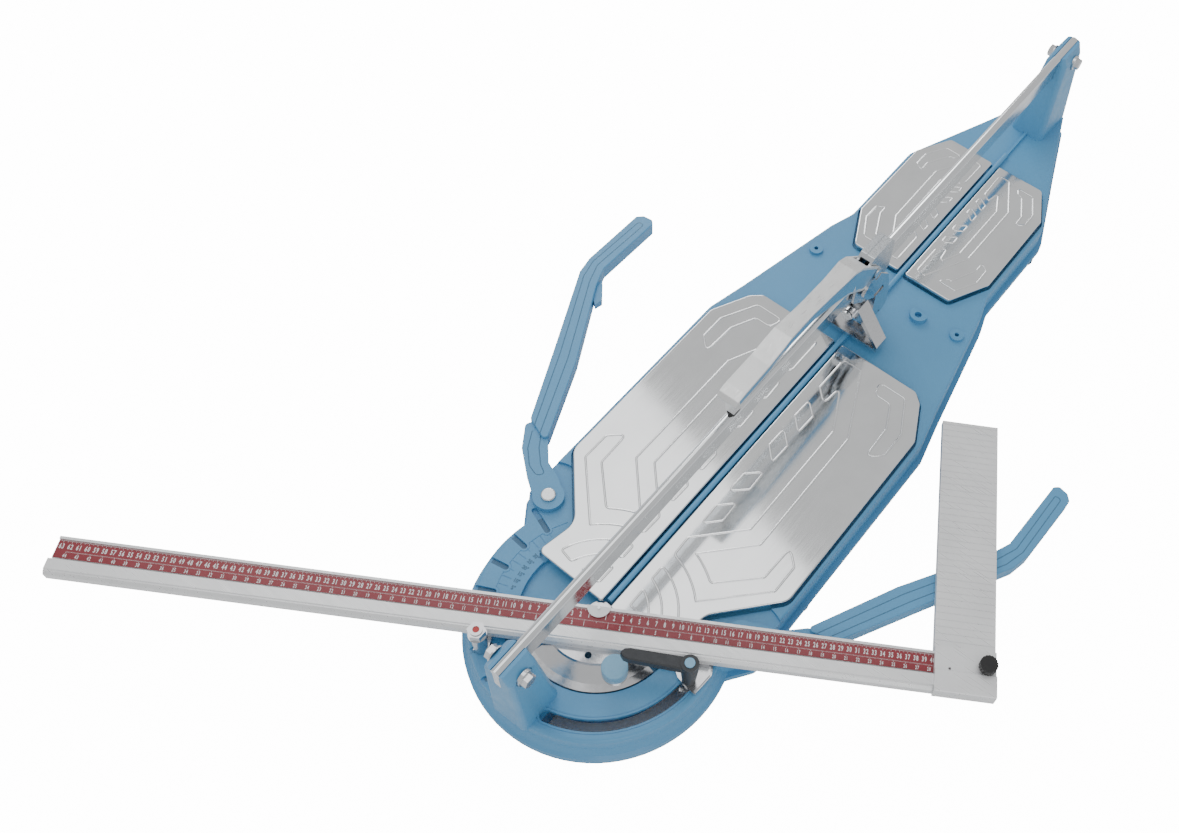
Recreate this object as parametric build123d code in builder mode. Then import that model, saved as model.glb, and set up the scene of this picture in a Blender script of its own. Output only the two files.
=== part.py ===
from build123d import *
import os
from math import cos, radians, sin

# Tile cutter with a rotating measuring guide.
# Millimetres.  Origin on the bench under the guide's pivot.
# +Y runs along the cutting line to the rear, +X to the right, +Z up.

os.makedirs("parts", exist_ok=True)

# ---------------------------------------------------------------- driving dimensions
bed_z = 62.0                # top of the tile bed
plate_t = 4.0               # thickness of a bed plate
deck_z = bed_z - 8.0        # top of the casting around the plates
disc_z = bed_z - 12.0       # top of the round front table
tray_z = bed_z - 16.0       # floor of the recesses under the plates
foot_t = 5.0                # rubber feet
flange_z = 17.0             # top of the flange round the bottom of the casting
disc_r = 158.4              # reach of everything that turns above the round front table
table_r = 156.0             # edge of the round front table
flange_r = 166.0
hub_recess_r = 98.8
slot_r = 136.0              # centre line of the angle slot
slot_w = 14.5
slot_from, slot_to = -76.5, 15.5
notch_step = 15.0           # the detent notches round the table

rail_top = bed_z + 136.0
rail_low = bed_z + 96.0
rail_front, rail_rear = -160.0, 1122.0
bead_w, bead_h, web_t = 12.0, 10.0, 9.0
front_bolt_yz = (-140.0, bed_z + 113.0)
rear_bolt_yz = (1100.0, bed_z + 112.0)
rail_bolt_r = 5.0

pivot_y, pivot_z = 545.0, bed_z + 128.0      # lever pivot on the carriage
roller_r, roller_w, rail_gap = 9.0, 11.0, 0.3
wheel_y, wheel_z, wheel_r = 575.0, bed_z + 18.0, 8.0
foot_pin_z = bed_z + 56.0

guide_deg = 30.0            # the guide as it stands, turned from square
bar_left, bar_right = -636.0, 476.0
bar_z = bed_z + 1.0         # underside of the measuring bar
bar_w = 50.0
square_w, blade_l = 74.0, 320.0
square_u = 401.0            # left edge of the square along the bar

arm_x, arm_y = 152.0, 80.0  # support arm pivot (right-hand one)
right_arm_turn = -3.0       # the right arm stands a little further out

run_fit = 0.05              # radial running clearance
thread_fit = 0.05           # radial play between a thread and its nut
gap = 0.4                   # clearance between parts that pass each other


# ---------------------------------------------------------------- helpers
def polar(r, deg):
    return (r * cos(radians(deg)), r * sin(radians(deg)))


def on_guide(u, v):
    """World x, y of a point given along (u) and across (v, rear positive) the bar."""
    c, s = cos(radians(guide_deg)), sin(radians(guide_deg))
    return (u * c - v * s, u * s + v * c)


def guide_plane(z):
    return Plane(origin=(0, 0, z), x_dir=(*polar(1, guide_deg), 0), z_dir=(0, 0, 1))


def bar_section_plane(u):
    """Plane across the bar: local x to the rear, local y up, normal along the bar."""
    x, y = on_guide(u, 0)
    return Plane(origin=(x, y, 0), x_dir=(*polar(1, guide_deg + 90), 0),
                 z_dir=(*polar(1, guide_deg), 0))


def radial_plane(deg):
    """Plane through the Z axis: local x outwards at this angle, local y up."""
    return Plane(origin=(0, 0, 0), x_dir=(*polar(1, deg), 0), z_dir=(*polar(1, deg - 90), 0))


def level(z):
    return Plane.XY.offset(z)


def rounded(points, radius):
    """Closed face with rounded corners, in the current sketch."""
    with BuildLine() as outline:
        FilletPolyline(*points, radius=radius, close=True)
    make_face(outline.edges())


def mirrored(points):
    """A right-hand outline joined to its mirror image across X = 0."""
    return points + [(-x, y) for x, y in reversed(points)]


def save(piece, name):
    piece.part.label = name
    export_step(piece.part, f"parts/{name}.step")


# ---------------------------------------------------------------- outlines
body_half = [(150, 24), (184, 70), (186, 448), (172, 512), (139, 683), (127, 722),
             (128, 884), (74, 1020), (34, 1124)]
body_radii = [8, 14, 30, 60, 60, 30, 30, 40, 10]
body_outline = mirrored(body_half)
outline_radii = body_radii + body_radii[::-1]

front_plate_half = [(6.5, 11), (110, 14), (101, 63), (105, 76), (171, 149), (171, 438),
                    (144, 493), (129, 506), (6.5, 506)]
front_plate_radii = [3, 8, 26, 26, 20, 22, 14, 12, 3]
rear_plate_half = [(6.5, 668), (82, 668), (113, 731), (113, 887), (83, 943), (6.5, 943)]
rear_plate_radii = [3, 8, 8, 8, 8, 3]
front_springs = [(30, 110), (130, 190), (30, 440), (125, 430)]
rear_springs = [(28, 700), (85, 745), (28, 910), (85, 880)]
stud_r = 4.0


def flip(points, side):
    return [(x * side, y) for x, y in points]


# ---------------------------------------------------------------- base casting
wall = 13.0
body_inset = 7.0
pocket_top = tray_z - 6.0
ridge_from, ridge_to = 18.0, 976.0
scale_zero = -155.0         # bearing of the angle scale's zero
notch_angles = [scale_zero + notch_step * i for i in range(-3, 4)]
notch_inner, notch_w, notch_depth = 127.8, 7.5, 4.5
post_top = rail_top - 3.0
front_half, rear_half = 19.2, 16.6      # half width of each post at its bolt
shoulder_z = bed_z + 117.0

with BuildPart() as base_casting:
    # body above its flange, with a softened top edge
    with BuildSketch(level(foot_t)) as body_plan:
        rounded(body_outline, outline_radii)
        offset(amount=-body_inset, kind=Kind.INTERSECTION)
    extrude(amount=deck_z - foot_t)
    fillet(base_casting.faces().sort_by(Axis.Z)[-1].edges(), 3.5)
    with BuildSketch(level(foot_t)) as flange_plan:
        rounded(body_outline, outline_radii)
    extrude(amount=flange_z - foot_t)
    # round front table, turned
    with BuildSketch(radial_plane(0)) as table_section:
        with BuildLine():
            Polyline((0, foot_t), (flange_r, foot_t), (flange_r, flange_z),
                     (flange_r - 4, flange_z + 3), (table_r + 1, flange_z + 13),
                     (table_r, disc_z - 5.5))
            TangentArc((table_r, disc_z - 5.5), (table_r - 5.5, disc_z), tangent=(0, 1))
            Polyline((table_r - 5.5, disc_z), (0, disc_z), (0, foot_t))
        make_face()
    revolve(axis=Axis.Z, revolution_arc=360)
    # the deck stands clear of everything that turns with the guide
    with BuildSketch(level(disc_z)) as table_clear:
        Circle(disc_r)
        with Locations((arm_x, arm_y), (-arm_x, arm_y)):
            Circle(52)
    extrude(amount=20, mode=Mode.SUBTRACT)
    # recesses under the plates
    with BuildSketch(level(tray_z)) as trays:
        for side in (1, -1):
            rounded(flip(front_plate_half, side), front_plate_radii)
            rounded(flip(rear_plate_half, side), rear_plate_radii)
        offset(amount=3.0, kind=Kind.INTERSECTION)
    extrude(amount=20, mode=Mode.SUBTRACT)
    # hub recess in the table
    with BuildSketch(level(bed_z - 19)) as hub_recess:
        Circle(hub_recess_r)
    extrude(amount=30, mode=Mode.SUBTRACT)
    # hollow underside: cells between ribs
    with BuildSketch(level(foot_t)) as cells:
        rounded(body_outline, outline_radii)
        offset(amount=-body_inset - wall * 0.6, kind=Kind.INTERSECTION)
        Rectangle(16, 2400, mode=Mode.SUBTRACT)
        with Locations((62, 600), (-62, 600)):
            Rectangle(6, 880, mode=Mode.SUBTRACT)
        for i in range(11):
            with Locations((0, 165 + 92 * i)):
                Rectangle(400, 6, mode=Mode.SUBTRACT)
        Circle(disc_r - 4, mode=Mode.SUBTRACT)
        with Locations((arm_x, arm_y), (-arm_x, arm_y)):
            Circle(15, mode=Mode.SUBTRACT)
        with Locations((0, 1110)):
            Rectangle(90, 150, mode=Mode.SUBTRACT)
    extrude(amount=pocket_top - foot_t, mode=Mode.SUBTRACT)
    with BuildSketch(level(foot_t)) as table_cells:
        Circle(disc_r - 6)
        Circle(118, mode=Mode.SUBTRACT)
        Circle(112)
        Circle(30, mode=Mode.SUBTRACT)
        Rectangle(16, 2400, mode=Mode.SUBTRACT)
        with Locations((0, -140)):
            Rectangle(56, 80, mode=Mode.SUBTRACT)
        with Locations((arm_x, arm_y), (-arm_x, arm_y)):
            Circle(15, mode=Mode.SUBTRACT)
    extrude(amount=32, mode=Mode.SUBTRACT)
    with BuildSketch(level(foot_t)) as slot_cell:
        Circle(disc_r - 6)
        Circle(118, mode=Mode.SUBTRACT)
        with BuildLine():
            Polyline((0, 0), polar(300, -88), (300, -300), polar(300, 30), close=True)
        make_face(mode=Mode.INTERSECT)
        with Locations((0, -140)):
            Rectangle(56, 80, mode=Mode.SUBTRACT)
    extrude(amount=disc_z - 6 - foot_t, mode=Mode.SUBTRACT)
    # breaking ridge, cast in the middle of the bed
    with BuildSketch(level(foot_t)) as ridge:
        with Locations((0, (ridge_from + ridge_to) / 2)):
            Rectangle(7, ridge_to - ridge_from)
        with Locations((0, 1020)):
            Rectangle(4, 100)
    extrude(amount=bed_z - 4 - foot_t)
    with BuildSketch(Plane.XZ.offset(-ridge_from)) as ridge_crown:
        with BuildLine():
            Polyline((-3.5, bed_z - 4), (3.5, bed_z - 4), (3.5, bed_z - 2.5))
            ThreePointArc((3.5, bed_z - 2.5), (0, bed_z - 0.6), (-3.5, bed_z - 2.5))
            Line((-3.5, bed_z - 2.5), (-3.5, bed_z - 4))
        make_face()
    extrude(amount=ridge_from - ridge_to)
    # bosses that guide the plate studs
    with BuildSketch(level(tray_z - 18)) as stud_bosses:
        with Locations(*[(x * s, y) for s in (1, -1) for x, y in front_springs + rear_springs]):
            Circle(9)
    extrude(amount=15)
    with BuildSketch(level(tray_z - 14)) as stud_bores:
        with Locations(*[(x * s, y) for s in (1, -1) for x, y in front_springs + rear_springs]):
            Circle(stud_r + run_fit)
    extrude(amount=20, mode=Mode.SUBTRACT)
    # front post
    with BuildSketch(level(disc_z - 4)) as post_foot:
        with Locations((0, -130.5)):
            RectangleRounded(52, 59, 7)
    with BuildSketch(level(shoulder_z)) as post_shoulder:
        with Locations((0, -139)):
            RectangleRounded(40, 42, 6)
    loft()
    with BuildSketch(level(shoulder_z)) as post_shoulder_top:
        with Locations((0, -139)):
            RectangleRounded(40, 42, 6)
    with BuildSketch(level(post_top)) as post_head:
        with Locations((0, -140)):
            RectangleRounded(21, 40, 3)
    loft()
    # rear post
    with BuildSketch(level(disc_z - 8)) as rear_foot:
        with Locations((0, 1080)):
            RectangleRounded(58, 88, 10)
    with BuildSketch(level(shoulder_z)) as rear_shoulder:
        with Locations((0, 1095)):
            RectangleRounded(35, 58, 8)
    loft()
    with BuildSketch(level(shoulder_z)) as rear_shoulder_top:
        with Locations((0, 1095)):
            RectangleRounded(35, 58, 8)
    with BuildSketch(level(post_top)) as rear_head:
        with Locations((0, 1096)):
            RectangleRounded(22, 56, 6)
    loft()
    # rail seats in both posts
    with BuildSketch(Plane.XZ.offset(170)) as rail_groove:
        with BuildLine():
            Polyline((-web_t / 2 - 0.2, rail_low - 0.3), (web_t / 2 + 0.2, rail_low - 0.3),
                     (web_t / 2 + 0.2, rail_top - bead_h - 0.3),
                     (bead_w / 2 + 0.3, rail_top - bead_h - 0.3),
                     (bead_w / 2 + 0.3, rail_top + 20), (-bead_w / 2 - 0.3, rail_top + 20),
                     (-bead_w / 2 - 0.3, rail_top - bead_h - 0.3),
                     (-web_t / 2 - 0.2, rail_top - bead_h - 0.3), close=True)
        make_face()
    extrude(amount=-1293, mode=Mode.SUBTRACT)
    # rail bolt holes
    with BuildSketch(Plane.YZ.offset(-40)) as bolt_holes:
        with Locations(front_bolt_yz, rear_bolt_yz):
            Circle(rail_bolt_r + 0.2)
    extrude(amount=80, mode=Mode.SUBTRACT)
    # flat seats for the washers
    for spot, half in ((front_bolt_yz, front_half), (rear_bolt_yz, rear_half)):
        for s in (1, -1):
            with BuildSketch(Plane.YZ.offset(s * half)):
                with Locations(spot):
                    Circle(12)
            extrude(amount=s * 10, mode=Mode.SUBTRACT)
    # angle slot
    with BuildSketch(level(disc_z - 12)) as angle_slot:
        with BuildLine() as slot_line:
            CenterArc((0, 0), slot_r, slot_from, slot_to - slot_from)
        trace(slot_line.line, line_width=slot_w)
        with Locations(polar(slot_r, slot_from), polar(slot_r, slot_to)):
            Circle(slot_w / 2)
    extrude(amount=20, mode=Mode.SUBTRACT)
    # lines round the slot and the table
    with BuildSketch(level(disc_z - 0.6)) as table_lines:
        with BuildLine() as slot_edge:
            CenterArc((0, 0), slot_r, slot_from, slot_to - slot_from)
        trace(slot_edge.line, line_width=slot_w + 6.4)
        with Locations(polar(slot_r, slot_from), polar(slot_r, slot_to)):
            Circle(slot_w / 2 + 3.2)
        trace(slot_edge.line, line_width=slot_w + 4.8, mode=Mode.SUBTRACT)
        with Locations(polar(slot_r, slot_from), polar(slot_r, slot_to)):
            Circle(slot_w / 2 + 2.4, mode=Mode.SUBTRACT)
    extrude(amount=5, mode=Mode.SUBTRACT)
    # angle scale: ticks every 5 degrees on the left, detent notches every 15
    with BuildSketch(level(disc_z - 0.6)) as ticks:
        for i in range(-9, 10):
            with PolarLocations(123.4, 1, start_angle=scale_zero + 5 * i):
                Rectangle(12 if i % 3 else 6, 0.9)
    extrude(amount=5, mode=Mode.SUBTRACT)
    # the scale's line runs round the end of each notch
    with BuildSketch(level(disc_z - 0.6)) as scale_line:
        with BuildLine() as scale_arc:
            CenterArc((0, 0), 130.3, scale_zero - 57, 98)
        trace(scale_arc.line, line_width=0.9)
        for angle in notch_angles:
            with PolarLocations(notch_inner + 22, 1, start_angle=angle):
                SlotOverall(51, notch_w + 7)
        for angle in notch_angles:
            with PolarLocations(notch_inner + 22, 1, start_angle=angle):
                SlotOverall(49.2, notch_w + 5.2, mode=Mode.SUBTRACT)
        Circle(130.8, mode=Mode.INTERSECT)
    extrude(amount=5, mode=Mode.SUBTRACT)
    with BuildSketch(level(disc_z - notch_depth)) as notches:
        for angle in notch_angles:
            with PolarLocations(notch_inner + 20, 1, start_angle=angle):
                SlotOverall(40, notch_w)
    extrude(amount=8, mode=Mode.SUBTRACT)
    # pivot bore, seen from the hub side
    with BuildSketch(level(0)) as pivot_bore:
        Circle(8 + 0.1)
    extrude(amount=60, mode=Mode.SUBTRACT)
    with BuildSketch(level(foot_t)) as pivot_counterbore:
        Circle(20)
    extrude(amount=19, mode=Mode.SUBTRACT)
    # arm pivots
    with BuildSketch(level(0)) as arm_bores:
        with Locations((arm_x, arm_y), (-arm_x, arm_y)):
            Circle(6.1)
    extrude(amount=80, mode=Mode.SUBTRACT)
    with BuildSketch(level(foot_t)) as arm_nut_seats:
        with Locations((arm_x, arm_y), (-arm_x, arm_y)):
            Circle(12.5)
    extrude(amount=29, mode=Mode.SUBTRACT)
    # fixing bosses at the waist, with through holes
    with BuildSketch(level(deck_z - 4)) as fixing_bosses:
        with Locations((122, 627), (-122, 627)):
            Circle(10)
    extrude(amount=8)
    with BuildSketch(level(0)) as fixing_holes:
        with Locations((122, 627), (-122, 627)):
            Circle(3.2)
    extrude(amount=80, mode=Mode.SUBTRACT)
    # eyes cast beside the cutting line at the waist
    with BuildSketch(level(deck_z - 2)) as eyes:
        with Locations((61, 621), (-61, 621)):
            Circle(13)
        with Locations((61, 634), (-61, 634)):
            Rectangle(30, 16, mode=Mode.SUBTRACT)
        with Locations((61, 619), (-61, 619)):
            Circle(5, mode=Mode.SUBTRACT)
    extrude(amount=9)

save(base_casting, "base_casting")


# ---------------------------------------------------------------- feet
foot_spots = [(120, -85), (-120, -85), (172, 180), (-172, 180), (172, 430), (-172, 430),
              (116, 860), (-116, 860), (0, 1080)]

with BuildPart() as rubber_feet:
    with BuildSketch(level(0)) as centre_pad:
        Circle(26)
    extrude(amount=foot_t)
    with BuildSketch(level(0)) as pads_plan:
        with Locations(*foot_spots):
            Circle(13)
    extrude(amount=foot_t)
    chamfer(rubber_feet.faces().group_by(Axis.Z)[0].edges(), 1)
save(rubber_feet, "rubber_feet")


# ---------------------------------------------------------------- sprung bed plates
def build_plate(half, radii, side, springs, name):
    with BuildPart() as plate:
        with BuildSketch(level(bed_z - plate_t)):
            rounded(flip(half, side), radii)
        extrude(amount=plate_t)
        fillet(plate.faces().sort_by(Axis.Z)[-1].edges(), 1.6)
        with BuildSketch(level(tray_z - 6)):
            with Locations(*flip(springs, side)):
                Circle(stud_r)
        extrude(amount=bed_z - plate_t - tray_z + 6 + 1)
    save(plate, name)


def build_springs(springs, side, name):
    with BuildPart() as sleeves:
        with BuildSketch(level(tray_z)):
            with Locations(*flip(springs, side)):
                Circle(7)
                Circle(4.6, mode=Mode.SUBTRACT)
        extrude(amount=bed_z - plate_t - tray_z)
    save(sleeves, name)


for side, hand in ((-1, "left"), (1, "right")):
    build_plate(front_plate_half, front_plate_radii, side, front_springs, f"front_plate_{hand}")
    build_plate(rear_plate_half, rear_plate_radii, side, rear_springs, f"rear_plate_{hand}")
    build_springs(front_springs, side, f"front_springs_{hand}")
    build_springs(rear_springs, side, f"rear_springs_{hand}")


# ---------------------------------------------------------------- rail and its bolts
with BuildPart() as guide_rail:
    with BuildSketch(Plane.XZ.offset(-rail_front)) as rail_section:
        with BuildLine():
            Polyline((web_t / 2 - 0.5, rail_low), (-web_t / 2 + 0.5, rail_low),
                     (-web_t / 2, rail_low + 1), (-web_t / 2, rail_top - bead_h),
                     (-bead_w / 2, rail_top - bead_h + 1), (-bead_w / 2, rail_top - 4))
            ThreePointArc((-bead_w / 2, rail_top - 4), (0, rail_top), (bead_w / 2, rail_top - 4))
            Polyline((bead_w / 2, rail_top - 4), (bead_w / 2, rail_top - bead_h + 1),
                     (web_t / 2, rail_top - bead_h), (web_t / 2, rail_low + 1),
                     (web_t / 2 - 0.5, rail_low))
        make_face()
    extrude(amount=rail_front - rail_rear)
    with BuildSketch(Plane.YZ.offset(-20)) as rail_holes:
        with Locations(front_bolt_yz, rear_bolt_yz):
            Circle(rail_bolt_r + 0.2)
    extrude(amount=40, mode=Mode.SUBTRACT)
save(guide_rail, "guide_rail")

with BuildPart() as rail_bolts:
    for spot, half in ((front_bolt_yz, front_half), (rear_bolt_yz, rear_half)):
        with BuildSketch(Plane.YZ.offset(-half - 10)):
            with Locations(spot):
                Circle(rail_bolt_r)
        extrude(amount=2 * half + 12)
        with BuildSketch(Plane.YZ.offset(half + 2)):
            with Locations(spot):
                Circle(11)
        extrude(amount=2)
        with BuildSketch(Plane.YZ.offset(half + 2)):
            with Locations(spot):
                RegularPolygon(8.6, 6)
        extrude(amount=9)
save(rail_bolts, "rail_bolts")

with BuildPart() as rail_washers:
    for spot, half in ((front_bolt_yz, front_half), (rear_bolt_yz, rear_half)):
        for face in (half, -half - 2):
            with BuildSketch(Plane.YZ.offset(face)):
                with Locations(spot):
                    Circle(11)
                    Circle(rail_bolt_r + 0.3, mode=Mode.SUBTRACT)
            extrude(amount=2)
save(rail_washers, "rail_washers")

with BuildPart() as rail_nuts:
    for spot, half in ((front_bolt_yz, front_half), (rear_bolt_yz, rear_half)):
        with BuildSketch(Plane.YZ.offset(-half - 2)):
            with Locations(spot):
                RegularPolygon(9.2, 6)
                Circle(rail_bolt_r + thread_fit, mode=Mode.SUBTRACT)
        extrude(amount=-7)
save(rail_nuts, "rail_nuts")


# ---------------------------------------------------------------- carriage on the rail
upper_roller_z = rail_top + rail_gap + roller_r
lower_roller_z = rail_low - rail_gap - roller_r
roller_spots = {"upper_roller_front": (516, upper_roller_z),
                "upper_roller_rear": (572, upper_roller_z),
                "lower_roller": (547, lower_roller_z)}
carriage_in, carriage_out = 7.2, 10.5
carriage_side = [(503, rail_low + 4), (530, bed_z + 76), (565, bed_z + 76), (590, rail_low + 4),
                 (590, bed_z + 150), (580, bed_z + 161), (538, bed_z + 161), (530, bed_z + 154),
                 (503, bed_z + 152)]

with BuildPart() as carriage_block:
    with BuildSketch(Plane.YZ) as carriage_profile:
        rounded(carriage_side, 3)
    extrude(amount=carriage_out, both=True)
    with BuildSketch(Plane.YZ) as carriage_inside:
        with Locations((540, bed_z + 113)):
            Rectangle(120, 87)
    extrude(amount=carriage_in, both=True, mode=Mode.SUBTRACT)
    with BuildSketch(Plane.XY.offset(bed_z + 160)) as cap_line:
        with Locations((-1, 559)):
            Rectangle(1.4, 60)
    extrude(amount=4, mode=Mode.SUBTRACT)
    with BuildSketch(Plane.YZ.offset(-20)) as axle_holes:
        with Locations(*roller_spots.values()):
            Circle(3)
        with Locations((pivot_y, pivot_z)):
            Circle(5)
    extrude(amount=40, mode=Mode.SUBTRACT)
save(carriage_block, "carriage_block")

for name, spot in roller_spots.items():
    with BuildPart() as roller:
        with BuildSketch(Plane.YZ.offset(-roller_w / 2)):
            with Locations(spot):
                Circle(roller_r)
                Circle(3 + run_fit, mode=Mode.SUBTRACT)
        extrude(amount=roller_w)
        chamfer(roller.edges().filter_by(GeomType.CIRCLE).group_by(SortBy.RADIUS)[-1], 0.6)
    save(roller, name)

with BuildPart() as roller_axles:
    with BuildSketch(Plane.YZ.offset(-carriage_out)) as axles_plan:
        with Locations(*roller_spots.values()):
            Circle(3)
    extrude(amount=2 * carriage_out)
save(roller_axles, "roller_axles")

cheek_in, cheek_out = 11.3, 14.3
with BuildPart() as lever_pins:
    for s in (1, -1):
        with BuildSketch(Plane.YZ.offset(s * carriage_in)):
            with Locations((pivot_y, pivot_z)):
                Circle(5)
        extrude(amount=s * (cheek_out + 1.2 - carriage_in))
        with BuildSketch(Plane.YZ.offset(s * (cheek_out + 1.2))):
            with Locations((pivot_y, pivot_z)):
                Circle(7.5)
        extrude(amount=s * 2)
save(lever_pins, "lever_pins")


# ---------------------------------------------------------------- pull lever
lever_top = [(232, 176), (238, 184), (252, 187), (300, 189), (345, 197), (400, 192), (450, 187),
             (486, 186), (504, 178), (524, 160), (546, 140)]
lever_back = [(556, 130), (553, 119), (538, 117), (512, 122)]
lever_under = [(496, 137), (474, 151), (440, 164), (400, 175), (345, 182), (300, 175), (262, 173),
               (260, 142), (244, 142), (240, 172)]
lever_side = [(y, bed_z + h) for y, h in lever_top + lever_back + lever_under]
lever_side_radii = [3, 4] + [6] * 9 + [6, 4, 6, 6] + [6] * 6 + [4, 1.5, 1.5, 4]
lever_plan = [(14, 230), (13.2, 330), (11.2, 395), (12.4, 450), (cheek_out, 490),
              (cheek_out, 560)]

with BuildPart() as pull_lever:
    with BuildSketch(Plane.YZ) as lever_profile:
        rounded(lever_side, lever_side_radii)
    extrude(amount=20, both=True)
    with BuildSketch(level(bed_z + 100)) as lever_width:
        with BuildLine():
            Polyline(*mirrored(lever_plan), close=True)
        make_face()
    extrude(amount=120, mode=Mode.INTERSECT)
    # channel underneath, open all the way back
    with BuildSketch(Plane.YZ) as channel:
        with BuildLine():
            Polyline((268, bed_z + 150), (268, bed_z + 181), (300, bed_z + 184),
                     (345, bed_z + 192), (400, bed_z + 187), (450, bed_z + 182),
                     (482, bed_z + 181), (500, bed_z + 172), (500, bed_z + 90),
                     (300, bed_z + 90), close=True)
        make_face()
    extrude(amount=8.2, both=True, mode=Mode.SUBTRACT)
    with BuildSketch(Plane.YZ) as rear_channel:
        with BuildLine():
            Polyline((488, bed_z + 80), (488, bed_z + 180), (500, bed_z + 172),
                     (518, bed_z + 162), (518, bed_z + 190),
                     (600, bed_z + 190), (600, bed_z + 80), close=True)
        make_face()
    extrude(amount=cheek_in, both=True, mode=Mode.SUBTRACT)
    # the prong at the tip is narrow
    with BuildSketch(Plane.XZ.offset(-230)) as prong_sides:
        with Locations((14, bed_z + 150), (-14, bed_z + 150)):
            Rectangle(16, 30)
    extrude(amount=-36, mode=Mode.SUBTRACT)
    with BuildSketch(Plane.YZ.offset(-30)) as pivot_hole:
        with Locations((pivot_y, pivot_z)):
            Circle(5 + run_fit)
    extrude(amount=60, mode=Mode.SUBTRACT)
save(pull_lever, "pull_lever")

with BuildPart() as lever_pad:
    with BuildSketch(level(rail_top + rail_gap)) as pad_plan:
        with Locations((0, 252)):
            RectangleRounded(11, 15, 2)
    extrude(amount=bed_z + 142 - rail_top - rail_gap)
save(lever_pad, "lever_pad")


# ---------------------------------------------------------------- scoring wheel and its holder
holder_in, holder_out = cheek_out, 18.3
holder_side = [(512, bed_z + 112), (528, bed_z + 130), (552, bed_z + 124), (578, bed_z + 98),
               (592, bed_z + 50), (594, bed_z + 24), (584, bed_z + 12), (566, bed_z + 16),
               (553, bed_z + 32), (553, bed_z + 72), (528, bed_z + 90)]

with BuildPart() as wheel_holder:
    with BuildSketch(Plane.YZ.offset(holder_in)) as holder_profile:
        rounded(holder_side, 5)
    extrude(amount=holder_out - holder_in)
    with BuildSketch(Plane.YZ.offset(-holder_in)) as holder_profile_left:
        rounded(holder_side, 5)
    extrude(amount=holder_in - holder_out)
    # bridge under the rail and the fork for the wheel
    with BuildSketch(Plane.YZ.offset(-holder_out)) as bridge:
        with Locations((570, bed_z + 55)):
            RectangleRounded(32, 26, 4)
    extrude(amount=2 * holder_out)
    with BuildSketch(Plane.YZ.offset(-9)) as tines:
        with BuildLine():
            Polyline((558, bed_z + 50), (586, bed_z + 50), (586, bed_z + 24), (581, bed_z + 13),
                     (569, bed_z + 13), (564, bed_z + 24), close=True)
        make_face()
    extrude(amount=18)
    with BuildSketch(Plane.YZ.offset(-2.4)) as wheel_gap:
        with Locations((wheel_y, bed_z + 20)):
            Rectangle(40, 30)
    extrude(amount=4.8, mode=Mode.SUBTRACT)
    with BuildSketch(Plane.YZ.offset(-30)) as wheel_axle_hole:
        with Locations((wheel_y, wheel_z)):
            Circle(2)
    extrude(amount=60, mode=Mode.SUBTRACT)
    with BuildSketch(Plane.YZ.offset(-30)) as holder_cutouts:
        with BuildLine():
            Polyline((545, bed_z + 84), (568, bed_z + 84), (572, bed_z + 74), (549, bed_z + 74),
                     close=True)
        make_face()
        with Locations((pivot_y, pivot_z)):
            Circle(8.6)
    extrude(amount=60, mode=Mode.SUBTRACT)
    with BuildSketch(Plane.XZ.offset(-554)) as foot_pin_hole:
        with Locations((0, foot_pin_z)):
            Circle(4)
    extrude(amount=-18, mode=Mode.SUBTRACT)
save(wheel_holder, "wheel_holder")

with BuildPart() as scoring_wheel:
    with BuildSketch(Plane.XZ.offset(0)) as wheel_section:
        with BuildLine():
            Polyline((-1.8, 2 + run_fit), (1.8, 2 + run_fit), (1.8, 6), (0.15, wheel_r),
                     (-0.15, wheel_r), (-1.8, 6), close=True)
        make_face()
    revolve(axis=Axis.X, revolution_arc=360)
scoring_wheel.part.locate(Location((0, wheel_y, wheel_z)))
save(scoring_wheel, "scoring_wheel")

with BuildPart() as wheel_axle:
    with BuildSketch(Plane.YZ.offset(-10)) as wheel_axle_plan:
        with Locations((wheel_y, wheel_z)):
            Circle(2)
    extrude(amount=20)
save(wheel_axle, "wheel_axle")


# ---------------------------------------------------------------- breaker foot
with BuildPart() as breaker_foot:
    with BuildSketch(Plane.XZ.offset(-546)) as foot_frame:
        with BuildLine():
            Polyline((-51, bed_z + 4), (51, bed_z + 4), (51, bed_z + 13), (11, bed_z + 66),
                     (-11, bed_z + 66), (-51, bed_z + 13), close=True)
        make_face()
        with BuildLine():
            Polyline((-46, bed_z + 8), (46, bed_z + 8), (46, bed_z + 11), (17.5, bed_z + 46),
                     (-17.5, bed_z + 46), (-46, bed_z + 11), close=True)
        make_face(mode=Mode.SUBTRACT)
        with Locations((0, foot_pin_z)):
            Circle(4 + run_fit, mode=Mode.SUBTRACT)
    extrude(amount=24)
    with BuildSketch(Plane.XZ.offset(-551)) as foot_sleeve:
        with Locations((0, foot_pin_z)):
            Circle(9)
            Circle(4 + run_fit, mode=Mode.SUBTRACT)
    extrude(amount=36)
save(breaker_foot, "breaker_foot")

with BuildPart() as foot_pin:
    with BuildSketch(Plane.XZ.offset(-572)) as foot_pin_plan:
        with Locations((0, foot_pin_z)):
            Circle(4)
    extrude(amount=58)
    with BuildSketch(Plane.XZ.offset(-514)) as foot_pin_head:
        with Locations((0, foot_pin_z)):
            Circle(7)
    extrude(amount=3)
save(foot_pin, "foot_pin")


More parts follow.
